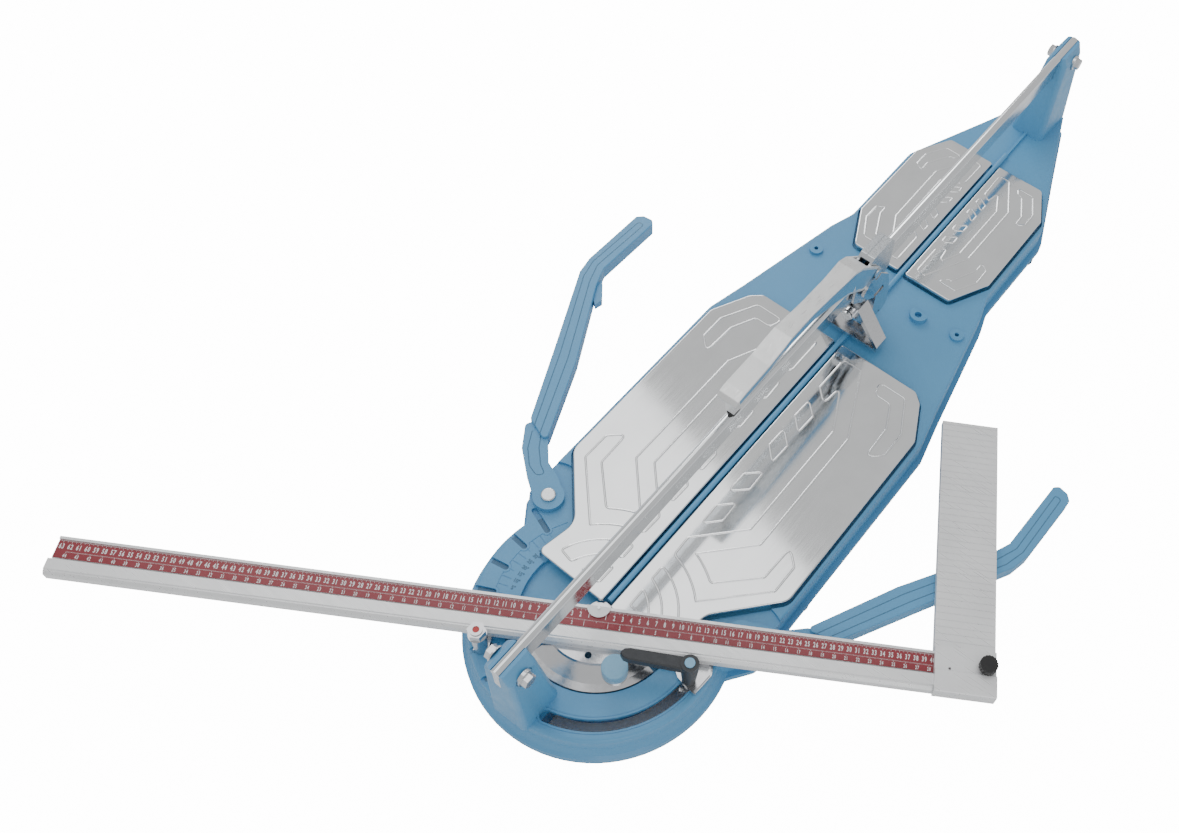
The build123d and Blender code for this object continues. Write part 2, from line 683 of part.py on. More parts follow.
# ---------------------------------------------------------------- guide hub
hub_floor = bed_z - 19 + gap
with BuildPart() as guide_hub:
    with BuildSketch(level(hub_floor)) as hub_ring:
        Circle(16)
    extrude(amount=bed_z - plate_t - 5 - hub_floor)
    with BuildSketch(level(hub_floor)) as hub_collar:
        Circle(12)
    extrude(amount=bed_z - 6 - hub_floor)
    with BuildSketch(radial_plane(-110)) as hub_section:
        with BuildLine():
            Polyline((0, hub_floor), (97, hub_floor), (97, disc_z + 1), (88, disc_z + 3),
                     (68, bed_z - 3), (66.5, bar_z), (0, bar_z), close=True)
        make_face()
    revolve(axis=Axis.Z, revolution_arc=100)
    with BuildSketch(level(0)) as hub_bore:
        Circle(8 + run_fit)
    extrude(amount=200, mode=Mode.SUBTRACT)
    with BuildSketch(level(bed_z - 6)) as hub_nut_seat:
        Circle(13)
    extrude(amount=20, mode=Mode.SUBTRACT)
    with BuildSketch(level(0)) as hub_hole:
        with Locations((26, -51)):
            Circle(4.2)
    extrude(amount=100, mode=Mode.SUBTRACT)
    with BuildSketch(level(hub_floor)) as cap_boss:
        with Locations((62, -46)):
            Circle(15.5)
    extrude(amount=disc_z + 8 - hub_floor)
    with BuildSketch(level(disc_z + 8)) as cap_seat:
        with Locations((62, -46)):
            Circle(16)
    extrude(amount=40, mode=Mode.SUBTRACT)
save(guide_hub, "guide_hub")

with BuildPart() as hub_cap:
    with BuildSketch(level(disc_z + 8)) as cap_plan:
        with Locations((62, -46)):
            Circle(15.5)
    extrude(amount=17)
    fillet(hub_cap.faces().sort_by(Axis.Z)[-1].edges(), 1.2)
save(hub_cap, "hub_cap")

with BuildPart() as pivot_bolt:
    with BuildSketch(level(foot_t + 10)) as pivot_head:
        RegularPolygon(14, 6)
    extrude(amount=9)
    with BuildSketch(level(foot_t + 19)) as pivot_shank:
        Circle(8)
    extrude(amount=bed_z - 1 - foot_t - 19)
save(pivot_bolt, "pivot_bolt")

with BuildPart() as pivot_nut:
    with BuildSketch(level(bed_z - 5.6)) as nut_plan:
        Circle(10.8)
        Circle(8 + thread_fit, mode=Mode.SUBTRACT)
    extrude(amount=4)
save(pivot_nut, "pivot_nut")


# ---------------------------------------------------------------- measuring bar
bar_profile = [(0, bar_z), (0, bar_z + 11), (-3.5, bar_z + 11), (-3.5, bar_z + 9),
               (-27, bar_z + 9), (-27.6, bar_z + 7), (-30.4, bar_z + 7), (-30.8, bar_z + 16),
               (-44, bar_z + 16), (-45, bar_z + 14.5), (-46.5, bar_z + 14.5),
               (-bar_w, bar_z + 11), (-bar_w, bar_z)]
strip_t = 0.5
marker_r = 14.0

with BuildPart() as measuring_bar:
    with BuildSketch(bar_section_plane(bar_left)) as bar_section:
        with BuildLine():
            Polyline(*bar_profile, close=True)
        make_face()
        with Locations((-15, bar_z + 3.6), (-37.5, bar_z + 6.5)):
            Rectangle(19, 3.6, mode=Mode.SUBTRACT)
    extrude(amount=bar_right - bar_left)
save(measuring_bar, "measuring_bar")

with BuildPart() as scale_strip:
    with BuildSketch(bar_section_plane(bar_left + 1)) as strip_section:
        with Locations((-15.2, bar_z + 9 + strip_t / 2)):
            Rectangle(23.2, strip_t)
    extrude(amount=bar_right - bar_left - 2)
save(scale_strip, "scale_strip")

with BuildPart() as zero_marker:
    with BuildSketch(guide_plane(bar_z + 11)) as marker_plan:
        Circle(marker_r)
        with Locations((0, marker_r)):
            Rectangle(2 * marker_r, 2 * marker_r, mode=Mode.SUBTRACT)
    extrude(amount=1.2)
save(zero_marker, "zero_marker")

with BuildPart() as marker_pin:
    with BuildSketch(guide_plane(bar_z + 12.2)) as pin_plan:
        with Locations((0, -2.4)):
            Circle(1.8)
    extrude(amount=1.6)
save(marker_pin, "marker_pin")


# ---------------------------------------------------------------- lock of the guide
stud_u, stud_v = polar(slot_r, -guide_deg - 0.5)
lever_turn = 207.5          # where the lock lever points when it is closed
stud_x, stud_y = on_guide(stud_u, stud_v)
lock_arm = 80.0

with BuildPart() as clamp_plate:
    with BuildSketch(guide_plane(disc_z + gap)) as clamp_plan:
        rounded([(72, -46), (75, -57), (99, -58), (104, -68), (126, -86), (143, -60), (143, -46)],
                2.5)
        with Locations((stud_u, stud_v)):
            Circle(5 + thread_fit, mode=Mode.SUBTRACT)
    extrude(amount=7)
    with BuildSketch(guide_plane(disc_z + gap + 7)) as clamp_riser:
        with Locations((126, -48)):
            Rectangle(30, 3.6)
    extrude(amount=bar_z - disc_z - gap - 7)
    # rim on the outer side
    with BuildSketch(guide_plane(disc_z + gap + 7)) as clamp_rim:
        with BuildLine():
            Polyline((125, -82), (126.6, -82.4), (141, -60.5), (141, -51), (138.5, -51),
                     (138.5, -60), close=True)
        make_face()
    extrude(amount=3.6)
save(clamp_plate, "clamp_plate")

with BuildPart() as clamp_stud:
    with BuildSketch(guide_plane(disc_z - 16)) as stud_plan:
        with Locations((stud_u, stud_v)):
            Circle(5)
    extrude(amount=bed_z + 44 - disc_z + 16)
save(clamp_stud, "clamp_stud")

with BuildPart() as slot_nut:
    with BuildSketch(guide_plane(disc_z - 15.5)) as slot_nut_plan:
        with Locations((stud_u, stud_v)):
            Rectangle(20, 20)
            Circle(5 + thread_fit, mode=Mode.SUBTRACT)
    extrude(amount=9)
save(slot_nut, "slot_nut")

arm_plane = Plane(origin=(stud_x, stud_y, bed_z + 36), x_dir=(*polar(1, lever_turn), 0),
                  z_dir=(0, 0, 1))
with BuildPart() as lock_lever:
    with BuildSketch(level(disc_z + gap + 7.4)) as barrel_foot:
        with Locations((stud_x, stud_y)):
            Circle(8)
    with BuildSketch(level(bed_z + 30)) as barrel_waist:
        with Locations((stud_x, stud_y)):
            Circle(10.5)
    loft()
    with BuildSketch(level(bed_z + 30)) as barrel_head:
        with Locations((stud_x, stud_y)):
            Circle(10.5)
    extrude(amount=20)
    with BuildSketch(arm_plane) as arm_plan:
        with BuildLine():
            Polyline((0, -8), (70, -7), (76, -5.5), (80, -1), (80, 1), (76, 5.5), (70, 7),
                     (0, 8), close=True)
        make_face()
    extrude(amount=12)
    fillet(lock_lever.faces().sort_by(Axis.Z)[-2:].edges().filter_by(GeomType.LINE), 2)
    with BuildSketch(level(0)) as lever_bore:
        with Locations((stud_x, stud_y)):
            Circle(5 + run_fit)
    extrude(amount=bed_z + 44.6, mode=Mode.SUBTRACT)
save(lock_lever, "lock_lever")

with BuildPart() as lever_cap:
    with BuildSketch(level(bed_z + 50)) as lever_cap_plan:
        with Locations((stud_x, stud_y)):
            Circle(6)
    extrude(amount=1.6)
save(lever_cap, "lever_cap")


# ---------------------------------------------------------------- detent of the guide
detent_u, detent_v = polar(142.0, scale_zero + 2 * notch_step - guide_deg)

with BuildPart() as detent_housing:
    with BuildSketch(guide_plane(disc_z + gap)) as bracket_plan:
        with BuildLine():
            Polyline((-139, -46), (-118, -46), (-119.5, -64), (-136, -67), close=True)
        make_face()
    extrude(amount=7)
    with BuildSketch(guide_plane(disc_z + gap + 7)) as bracket_riser:
        with Locations((-128.5, -48)):
            Rectangle(20, 3.6)
    extrude(amount=bar_z - disc_z - gap - 7)
    with BuildSketch(guide_plane(disc_z + gap)) as housing_plan:
        with Locations((detent_u, detent_v)):
            Circle(9)
    extrude(amount=bed_z + 28 - disc_z - gap)
    with BuildSketch(guide_plane(disc_z)) as housing_bore:
        with Locations((detent_u, detent_v)):
            Circle(3 + run_fit)
    extrude(amount=100, mode=Mode.SUBTRACT)
    with BuildSketch(guide_plane(bed_z + 6)) as spring_room:
        with Locations((detent_u, detent_v)):
            Circle(6.4)
    extrude(amount=16, mode=Mode.SUBTRACT)
save(detent_housing, "detent_housing")

with BuildPart() as detent_spring:
    with BuildSketch(guide_plane(bed_z + 6.2)) as spring_plan:
        with Locations((detent_u, detent_v)):
            Circle(6)
            Circle(4, mode=Mode.SUBTRACT)
    extrude(amount=15.6)
save(detent_spring, "detent_spring")

with BuildPart() as detent_plunger:
    with BuildSketch(guide_plane(disc_z + gap)) as plunger_plan:
        with Locations((detent_u, detent_v)):
            Circle(3)
    extrude(amount=bed_z + 30 - disc_z - gap)
save(detent_plunger, "detent_plunger")

with BuildPart() as detent_knob:
    with BuildSketch(guide_plane(bed_z + 28.4)) as knob_plan:
        with Locations((detent_u, detent_v)):
            Circle(11)
            Circle(3, mode=Mode.SUBTRACT)
    extrude(amount=1.6)
    with BuildSketch(guide_plane(bed_z + 30)) as knob_hex:
        with Locations((detent_u, detent_v)):
            RegularPolygon(11, 6)
    extrude(amount=12)
    with BuildSketch(guide_plane(bed_z + 42)) as knob_top:
        with Locations((detent_u, detent_v)):
            Circle(7.5)
            Circle(4, mode=Mode.SUBTRACT)
    extrude(amount=2)
save(detent_knob, "detent_knob")

with BuildPart() as knob_insert:
    with BuildSketch(guide_plane(bed_z + 42)) as insert_plan:
        with Locations((detent_u, detent_v)):
            Circle(4)
    extrude(amount=1.2)
save(knob_insert, "knob_insert")


# ---------------------------------------------------------------- square on the bar
clamp_profile = [(0.6, bar_z + 1), (0.6, bar_z + 11.6), (-28.4, bar_z + 11.6),
                 (-28.4, bar_z + 16.6), (-50.6, bar_z + 16.6), (-50.6, bar_z + 3),
                 (-53.6, bar_z + 3), (-53.6, bar_z + 22), (-52.6, bar_z + 23),
                 (-27.5, bar_z + 23), (-25, bar_z + 19), (4, bar_z + 19), (4, bar_z + 1)]
knob_u, knob_v = square_u + 62, -17.0

with BuildPart() as square_clamp:
    with BuildSketch(bar_section_plane(square_u)) as square_section:
        with BuildLine():
            Polyline(*clamp_profile, close=True)
        make_face()
    extrude(amount=square_w)
    with BuildSketch(guide_plane(bar_z)) as square_holes:
        with Locations((knob_u, knob_v)):
            Circle(3)
        with Locations((square_u + 18, -23)):
            Circle(1.6)
    extrude(amount=60, mode=Mode.SUBTRACT)
save(square_clamp, "square_clamp")

rib_pitch = 9.0
with BuildPart() as square_blade:
    with BuildSketch(guide_plane(bar_z + 1)) as blade_plan:
        with Locations((square_u + square_w / 2, 4 + blade_l / 2)):
            Rectangle(square_w, blade_l)
    extrude(amount=12)
    with BuildSketch(guide_plane(bar_z + 12.4)) as blade_grooves:
        with Locations((square_u + square_w / 2, 6 + blade_l / 2)):
            with GridLocations(0, rib_pitch, 1, 35):
                Rectangle(square_w, 1.0)
    extrude(amount=3, mode=Mode.SUBTRACT)
save(square_blade, "square_blade")

with BuildPart() as square_screw:
    with BuildSketch(guide_plane(bar_z + 9.9)) as screw_plan:
        with Locations((knob_u, knob_v)):
            Circle(2.9)
    extrude(amount=14)
save(square_screw, "square_screw")

with BuildPart() as square_knob:
    with BuildSketch(guide_plane(bar_z + 19.4)) as knob_neck:
        with Locations((knob_u, knob_v)):
            Circle(7)
            Circle(2.9, mode=Mode.SUBTRACT)
    extrude(amount=4.5)
    with BuildSketch(guide_plane(bar_z + 23.9)) as knob_head:
        with Locations((knob_u, knob_v)):
            Circle(11)
            with PolarLocations(11.4, 18):
                Circle(1.1, mode=Mode.SUBTRACT)
    extrude(amount=10)
save(square_knob, "square_knob")


# ---------------------------------------------------------------- swinging side supports
arm_low, arm_neck_low, arm_neck_top = 40.0, disc_z + gap, bed_z - 4
arm_neck = [(137, 93), (160, 107), (184, 116), (206, 140), (236, 156), (245, 140), (224, 110),
            (192, 84), (160, 63)]
arm_long = [(204, 134), (257, 254), (320, 369), (331, 398), (330, 506), (336, 512), (350, 510),
            (358, 502), (359, 399), (354, 373), (295, 254), (244, 149)]


def build_arm(side, turn, name):
    base = Plane(origin=(side * arm_x, arm_y, 0), x_dir=(*polar(1, side * turn), 0),
                 z_dir=(0, 0, 1))

    def local(points):
        return [(side * x - side * arm_x, y - arm_y) for x, y in points]

    with BuildPart() as arm:
        with BuildSketch(base.offset(arm_neck_low)):
            rounded(local(arm_neck), 7)
            Circle(20)
        extrude(amount=arm_neck_top - arm_neck_low)
        with BuildSketch(base.offset(arm_low)):
            rounded(local(arm_long), 5)
        extrude(amount=bed_z - arm_low)
        fillet(arm.faces().sort_by(Axis.Z)[-1].edges(), 1.5)
        with BuildSketch(base.offset(arm_low + 4)):
            with BuildLine() as lug:
                Polyline(*local([(322, 384), (300, 357), (303, 345), (325, 362)]), close=True)
            make_face(lug.edges())
        extrude(amount=12)
        with BuildSketch(base.offset(0)):
            Circle(6 + run_fit)
        extrude(amount=100, mode=Mode.SUBTRACT)
    save(arm, name)


build_arm(1, right_arm_turn, "right_arm")
build_arm(-1, 0.0, "left_arm")

with BuildPart() as arm_bolts:
    for s in (1, -1):
        with BuildSketch(level(25)):
            with Locations((s * arm_x, arm_y)):
                Circle(6)
        extrude(amount=arm_neck_top + gap - 25)
        with BuildSketch(level(arm_neck_top + gap)):
            with Locations((s * arm_x, arm_y)):
                Circle(9.5)
        extrude(amount=3)
    fillet(arm_bolts.faces().group_by(Axis.Z)[-1].edges(), 2)
save(arm_bolts, "arm_bolts")

with BuildPart() as arm_nuts:
    for s in (1, -1):
        with BuildSketch(level(26)):
            with Locations((s * arm_x, arm_y)):
                RegularPolygon(11, 6)
                Circle(6, mode=Mode.SUBTRACT)
        extrude(amount=8)
save(arm_nuts, "arm_nuts")
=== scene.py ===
import math

import bmesh
import bpy
from mathutils import Matrix, Vector


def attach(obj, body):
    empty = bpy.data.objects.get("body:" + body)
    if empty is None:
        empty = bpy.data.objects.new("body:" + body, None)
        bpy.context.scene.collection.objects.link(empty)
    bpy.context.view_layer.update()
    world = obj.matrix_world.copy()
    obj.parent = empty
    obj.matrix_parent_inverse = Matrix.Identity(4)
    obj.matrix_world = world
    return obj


bl_info = {
    "name": "Tile cutter",
    "version": (1, 0, 0),
    "blender": (4, 2, 0),
    "location": "View3D > Sidebar > Tile cutter",
    "description": "Finishes and fine detail for a tile cutter with a swinging measuring guide",
    "category": "Object",
}

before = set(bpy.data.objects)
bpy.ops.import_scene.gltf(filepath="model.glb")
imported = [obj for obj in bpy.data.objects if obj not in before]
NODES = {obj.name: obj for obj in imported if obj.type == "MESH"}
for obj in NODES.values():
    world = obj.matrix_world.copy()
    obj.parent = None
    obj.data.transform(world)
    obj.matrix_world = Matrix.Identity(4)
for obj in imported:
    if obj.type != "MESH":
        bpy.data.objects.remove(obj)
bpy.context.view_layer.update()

MM = 0.001
CM = 0.01
BED_Z = 0.062  # top of the tile bed
BAR_Z = 0.063  # underside of the measuring bar
STRIP_TOP = BAR_Z + 0.0095  # face of the scale strip that carries the print
GUIDE_DEG = 30.0  # the guide as it stands, turned from square
SCALE_ZERO = -155.0  # bearing of the angle scale's zero from the hub
NOTCH_STEP = 15  # degrees between the detent notches
FIGURE_STEP = 5  # degrees between the figures of the angle scale


# ---------------------------------------------------------------- small helpers
def polar(radius, degrees):
    """The x and y of a point at a bearing from the hub."""
    return radius * math.cos(math.radians(degrees)), radius * math.sin(math.radians(degrees))


def new_object(name, mesh):
    obj = bpy.data.objects.new(name, mesh)
    bpy.context.scene.collection.objects.link(obj)
    return obj


def finish_piece(name, bm, material, body, smooth=True):
    """Turns a bmesh into a named piece with one material that rides on a body."""
    mesh = bpy.data.meshes.new(name)
    bm.to_mesh(mesh)
    bm.free()
    for polygon in mesh.polygons:
        polygon.use_smooth = smooth
    mesh.materials.append(material)
    obj = new_object(name, mesh)
    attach(obj, body)
    return obj


def darker(colour, share):
    return tuple(c * share for c in colour)


def rounded_path(points, radius, closed, steps=6):
    """The same path with its corners rounded off, about as wide as an arc of the radius."""
    least_slope = 0.05  # keeps the rounding of a very sharp corner finite
    side_share = 0.45  # leaves part of each side straight
    count = len(points)
    path = []
    for i, point in enumerate(points):
        corner = Vector(point)
        if not closed and i in (0, count - 1):
            path.append(corner)
            continue
        before = Vector(points[i - 1]) - corner
        after = Vector(points[(i + 1) % count]) - corner
        turn = before.angle(after)
        shorter = min(before.length, after.length)
        reach = min(radius / max(math.tan(turn / 2), least_slope), shorter * side_share)
        start = corner + before.normalized() * reach
        end = corner + after.normalized() * reach
        for k in range(steps + 1):
            t = k / steps
            path.append(start.lerp(corner, t).lerp(corner.lerp(end, t), t))
    return path


def bead_mesh(paths, width, height, closed=True):
    """Flattened round beads along level paths, as one bmesh; each stands a height above its path."""
    curve = bpy.data.curves.new("bead", "CURVE")
    curve.dimensions = "3D"
    curve.bevel_depth = width / 2
    curve.bevel_resolution = 1
    curve.use_fill_caps = True
    for path in paths:
        spline = curve.splines.new("POLY")
        spline.points.add(len(path) - 1)
        for point, place in zip(spline.points, path):
            point.co = (place[0], place[1], 0.0, 1.0)
        spline.use_cyclic_u = closed
    holder = bpy.data.objects.new("bead", curve)
    mesh = bpy.data.meshes.new_from_object(holder)
    bm = bmesh.new()
    bm.from_mesh(mesh)
    bpy.data.objects.remove(holder)
    bpy.data.meshes.remove(mesh)
    bmesh.ops.scale(bm, vec=(1, 1, 2 * height / width), verts=bm.verts)
    bmesh.ops.translate(bm, vec=(0, 0, paths[0][0][2]), verts=bm.verts)
    return bm


def side_panel(bm, outline, offsets, thickness):
    """Adds a thin panel that faces sideways; outline holds its (y, z) places and offsets their x."""
    side = 1 if offsets[0] > 0 else -1
    inner = bm.faces.new([bm.verts.new((x, y, z)) for x, (y, z) in zip(offsets, outline)])
    grown = bmesh.ops.extrude_face_region(bm, geom=[inner])
    outer = [v for v in grown["geom"] if isinstance(v, bmesh.types.BMVert)]
    bmesh.ops.translate(bm, vec=(side * thickness, 0, 0), verts=outer)
    bmesh.ops.recalc_face_normals(bm, faces=bm.faces)


def text_mesh(words, size, depth, weight=0.0):
    """The mesh of some figures, centred on the origin and lying flat; weight thickens strokes."""
    curve = bpy.data.curves.new("figures", "FONT")
    curve.body = words
    curve.size = size
    curve.align_x = "CENTER"
    curve.align_y = "CENTER"
    curve.extrude = depth / 2
    curve.offset = weight
    curve.resolution_u = 2
    holder = bpy.data.objects.new("figures", curve)
    mesh = bpy.data.meshes.new_from_object(holder)
    bpy.data.objects.remove(holder)
    return mesh


# ---------------------------------------------------------------- materials
class Finish:
    """A node material that is built up step by step on Object coordinates."""

    def __init__(self, name, colour, metallic, roughness, coat=0.0):
        self.material = bpy.data.materials.new(name)
        self.material.use_nodes = True
        self.nodes = self.material.node_tree.nodes
        self.links = self.material.node_tree.links
        self.shader = self.nodes["Principled BSDF"]
        self.shader.inputs["Base Color"].default_value = (*colour, 1)
        self.shader.inputs["Metallic"].default_value = metallic
        self.shader.inputs["Roughness"].default_value = roughness
        self.shader.inputs["Coat Weight"].default_value = coat
        self.colour = colour
        self.place = self.nodes.new("ShaderNodeTexCoord").outputs["Object"]

    def noise(self, scale, detail=3.0, stretch=(1, 1, 1), turn=0.0):
        mapping = self.nodes.new("ShaderNodeMapping")
        mapping.inputs["Scale"].default_value = stretch
        mapping.inputs["Rotation"].default_value = (0, 0, turn)
        texture = self.nodes.new("ShaderNodeTexNoise")
        texture.inputs["Scale"].default_value = scale
        texture.inputs["Detail"].default_value = detail
        self.links.new(self.place, mapping.inputs["Vector"])
        self.links.new(mapping.outputs["Vector"], texture.inputs["Vector"])
        return texture.outputs["Fac"]

    def spread(self, value, low, high, start=0.3, end=0.7):
        scale = self.nodes.new("ShaderNodeMapRange")
        scale.inputs["From Min"].default_value = start
        scale.inputs["From Max"].default_value = end
        scale.inputs["To Min"].default_value = low
        scale.inputs["To Max"].default_value = high
        self.links.new(value, scale.inputs["Value"])
        return scale.outputs["Result"]

    def mix_colour(self, factor, first, second):
        mix = self.nodes.new("ShaderNodeMix")
        mix.data_type = "RGBA"
        self.links.new(factor, mix.inputs["Factor"])
        for socket, value in ((mix.inputs[6], first), (mix.inputs[7], second)):
            if isinstance(value, tuple):
                socket.default_value = (*value, 1)
            else:
                self.links.new(value, socket)
        return mix.outputs[2]

    def tint(self, factor, other):
        """Varies the base colour towards another one."""
        current = self.shader.inputs["Base Color"]
        first = current.links[0].from_socket if current.is_linked else self.colour
        self.links.new(self.mix_colour(factor, first, other), current)

    def rough(self, value, low, high):
        self.links.new(self.spread(value, low, high), self.shader.inputs["Roughness"])

    def bump(self, value, strength, distance):
        node = self.nodes.new("ShaderNodeBump")
        node.inputs["Strength"].default_value = strength
        node.inputs["Distance"].default_value = distance
        normal = self.shader.inputs["Normal"]
        if normal.is_linked:
            self.links.new(normal.links[0].from_socket, node.inputs["Normal"])
        self.links.new(value, node.inputs["Height"])
        self.links.new(node.outputs["Normal"], normal)


def painted_casting(name, colour):
    """Satin paint on a casting: a fine orange peel over broad, faint clouds."""
    look = Finish(name, colour, 0.0, 0.42, coat=0.12)
    look.shader.inputs["Coat Roughness"].default_value = 0.3
    grain = look.noise(900, 2)
    cloud = look.noise(9, 4)
    look.tint(look.spread(cloud, 0, 0.35), darker(colour, 0.82))
    look.rough(look.noise(60, 3), 0.36, 0.5)
    look.bump(grain, 0.22, 0.0004)
    look.bump(cloud, 0.12, 0.002)
    return look.material


def bright_metal(name, colour, roughness, stretch=(1, 1, 1), turn=0.0, grain=500, strength=0.08,
                 metallic=1.0):
    """Bare metal with a fine directional grain and faint stains."""
    look = Finish(name, colour, metallic, roughness)
    lines = look.noise(grain, 2, stretch, turn)
    stain = look.noise(22, 4)
    look.tint(look.spread(stain, 0, 0.5), darker(colour, 0.86))
    look.rough(lines, roughness * 0.75, roughness * 1.35)
    look.bump(lines, strength, 0.0003)
    return look.material


def moulded(name, colour, roughness, coat=0.0):
    """Moulded plastic or rubber with a fine texture."""
    look = Finish(name, colour, 0.0, roughness, coat)
    grain = look.noise(1400, 2)
    look.tint(look.spread(look.noise(40, 3), 0, 0.4), darker(colour, 0.8))
    look.rough(look.noise(90, 2), roughness * 0.85, min(1.0, roughness * 1.15))
    look.bump(grain, 0.15, 0.0003)
    return look.material


FINISHES = {}


def finish(name):
    return FINISHES[name]


def dress(name, *nodes):
    """Gives CAD nodes a finish."""
    for node in nodes:
        materials = NODES[node].data.materials
        materials.clear()
        materials.append(finish(name))


# ---------------------------------------------------------------- properties
class CutterColours(bpy.types.PropertyGroup):
    paint: bpy.props.FloatVectorProperty(
        name="Paint", description="Colour of the painted castings", subtype="COLOR",
        default=(0.1, 0.34, 0.6), min=0, max=1)
    strip: bpy.props.FloatVectorProperty(
        name="Scale strip", description="Colour of the scale strip", subtype="COLOR",
        default=(0.26, 0.022, 0.034), min=0, max=1)
    steel: bpy.props.FloatVectorProperty(
        name="Bed plates", description="Colour of the bed plates", subtype="COLOR",
        default=(0.86, 0.875, 0.885), min=0, max=1)


class CutterSizes(bpy.types.PropertyGroup):
    bead_width: bpy.props.FloatProperty(
        name="Bead width", description="Width of the pressed beads on the bed plates",
        subtype="DISTANCE", default=0.003, min=0.001, max=0.006)
    bead_height: bpy.props.FloatProperty(
        name="Bead height", description="Height of the pressed beads above a plate",
        subtype="DISTANCE", default=0.0011, min=0.0002, max=0.003)
    figure_size: bpy.props.FloatProperty(
        name="Figure size", description="Height of the figures on the scale",
        subtype="DISTANCE", default=0.0088, min=0.003, max=0.014)


# ---------------------------------------------------------------- finishes
class CUTTER_OT_finishes(bpy.types.Operator):
    """Makes every finish and gives it to the CAD nodes"""
    bl_idname = "cutter.finishes"
    bl_label = "Finishes"

    def execute(self, context):
        colours = context.scene.cutter_colours
        paint = tuple(colours.paint)
        FINISHES.update({
            "paint": painted_casting("Light blue paint", paint),
            "panel": painted_casting("Blue lever panel", darker(paint, 0.92)),
            # darker blue: the figures of the angle scale, and painted shade on the notch floors and
            # along the arm tops
            "dark_paint_and_painted_shade": painted_casting("Dark blue paint and painted shade in grooves", darker(paint, 0.5)),
            "plate": bright_metal("Polished bed plate", tuple(colours.steel), 0.085,
                                  (1, 0.02, 1), 0, 700, 0.015),
            # a lighter copy of the plate steel: painted highlight along the pressed beads
            "bead": bright_metal("Pressed bead with painted highlight", (0.9, 0.91, 0.92), 0.12, grain=400),
            "rail": bright_metal("Polished rail", (0.8, 0.82, 0.84), 0.12, (1, 0.02, 1)),
            "bolt": bright_metal("Zinc plated bolt", (0.74, 0.76, 0.78), 0.24),
            "nickel": bright_metal("Nickel plate", (0.66, 0.67, 0.69), 0.16, grain=200),
            "lever": bright_metal("Satin lever", (0.8, 0.81, 0.81), 0.36, (1, 0.05, 1), 0, 600,
                                  0.06, 0.75),
            "carriage": bright_metal("Turned aluminium", (0.62, 0.65, 0.68), 0.3),
            "bar": bright_metal("Anodised bar", (0.88, 0.89, 0.9), 0.34, (0.03, 1, 1),
                                -math.radians(GUIDE_DEG), 700, 0.05, 0.5),
            "spring": bright_metal("Spring steel", (0.5, 0.5, 0.52), 0.3),
            "strip": moulded("Red scale strip", tuple(colours.strip), 0.35, 0.2),
            "figures": moulded("White figures", (0.85, 0.86, 0.86), 0.45),
            "white": moulded("White marker", (0.88, 0.9, 0.91), 0.3, 0.2),
            "cap": moulded("Pale blue cap", (0.22, 0.47, 0.67), 0.38, 0.1),
            "lock": moulded("Dark grey lever", (0.032, 0.036, 0.042), 0.45),
            "black": moulded("Black knob", (0.012, 0.012, 0.013), 0.42),
            "rubber": moulded("Rubber", (0.02, 0.02, 0.021), 0.75),
            "red": moulded("Red insert", (0.5, 0.01, 0.01), 0.3, 0.3),
            "carbide": bright_metal("Carbide wheel", (0.42, 0.43, 0.45), 0.22),
        })
        dress("paint", "base_casting", "left_arm", "right_arm")
        dress("plate", "front_plate_left", "front_plate_right", "rear_plate_left",
              "rear_plate_right")
        dress("spring", "front_springs_left", "front_springs_right", "rear_springs_left",
              "rear_springs_right", "detent_spring")
        dress("rail", "guide_rail")
        dress("bolt", "rail_bolts", "rail_washers", "rail_nuts", "upper_roller_front",
              "upper_roller_rear", "lower_roller", "roller_axles", "lever_pins", "wheel_axle",
              "foot_pin", "pivot_bolt", "pivot_nut", "marker_pin", "clamp_stud", "slot_nut",
              "detent_plunger", "square_screw", "arm_bolts", "arm_nuts")
        dress("carriage", "carriage_block")
        dress("lever", "pull_lever")
        dress("nickel", "breaker_foot", "wheel_holder", "guide_hub", "clamp_plate", "detent_housing",
              "detent_knob")
        dress("bar", "measuring_bar", "square_clamp", "square_blade")
        dress("strip", "scale_strip")
        dress("white", "zero_marker")
        dress("cap", "hub_cap", "lever_cap")
        dress("lock", "lock_lever")
        dress("black", "square_knob")
        dress("rubber", "rubber_feet", "lever_pad")
        dress("red", "knob_insert")
        dress("carbide", "scoring_wheel")
        return {"FINISHED"}


